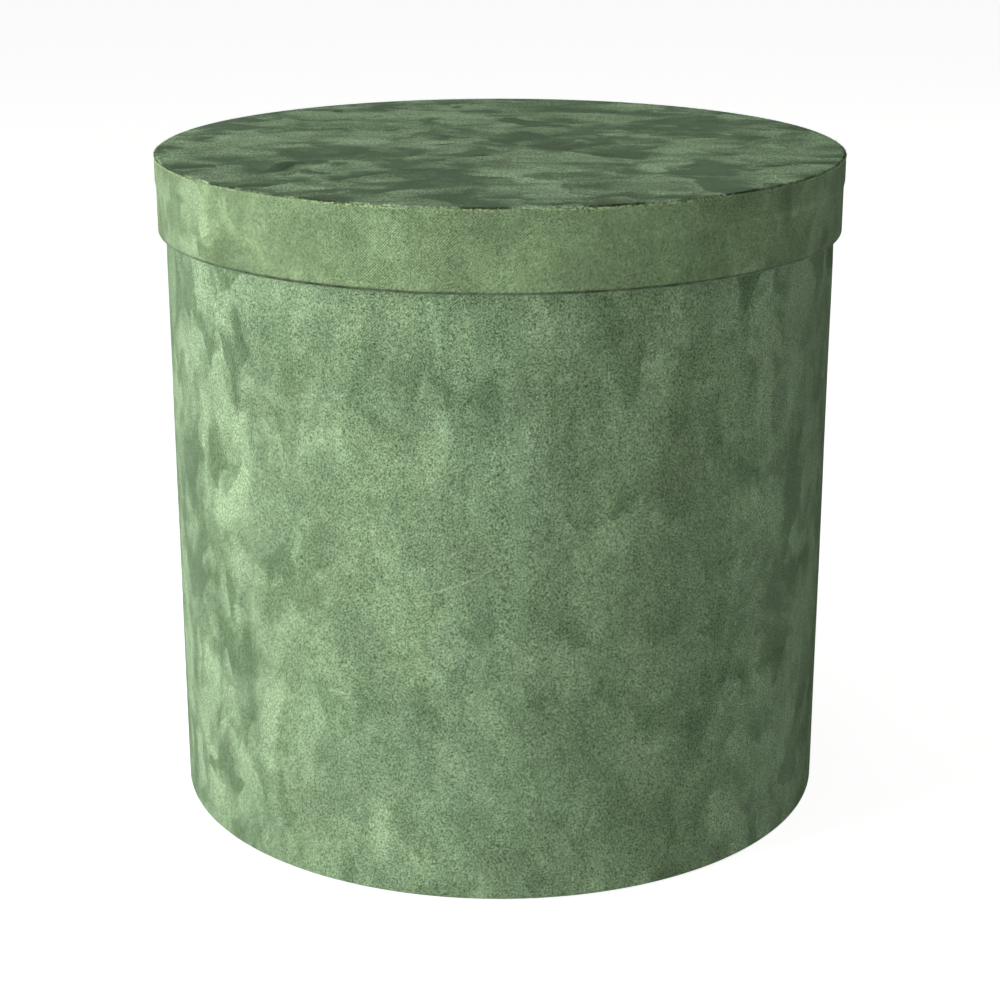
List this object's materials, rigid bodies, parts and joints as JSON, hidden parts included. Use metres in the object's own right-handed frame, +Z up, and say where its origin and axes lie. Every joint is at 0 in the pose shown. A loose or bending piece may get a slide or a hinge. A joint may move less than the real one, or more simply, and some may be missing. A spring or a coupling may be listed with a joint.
{
  "type": "round lidded flower box",
  "caption": "Round fabric-covered board box with a deep lift-off lid, paper-lined, for holding a flower arrangement.",
  "frame": {"origin": "centre of the underside, on the surface the box stands on", "axes": "+Z up along the box's axis, which the lid lifts along; the shown front faces -Y, and the seams of the boards and the fabric are at the back, at +Y"},
  "size_m": [0.2566, 0.2566, 0.2489],
  "materials": {
    "body_fabric": "matte",
    "lid_band_fabric": "matte",
    "lid_top_fabric": "matte",
    "board": "matte",
    "lining_paper": "matte",
    "foot_paper": "matte",
    "kraft_tape": "satin"
  },
  "bodies": {
    "box": {"body_tube": "board", "body_seam_tape": "kraft_tape", "base_board": "board", "body_wrap": "body_fabric", "wall_lining": "lining_paper", "floor_lining": "lining_paper", "underside_cover": "foot_paper"},
    "lid": {"lid_rim_board": "board", "lid_seam_tape": "kraft_tape", "lid_top_board": "board", "lid_top_cover": "lid_top_fabric", "lid_rim_wrap": "lid_band_fabric", "lid_rim_lining": "lining_paper", "lid_disc_lining": "lining_paper"}
  },
  "joints": [
    {"name": "lid_lift", "type": "slide", "parent": "box", "child": "lid", "axis": [0, 0, 1], "range_m": [0, 0.15]}
  ]
}
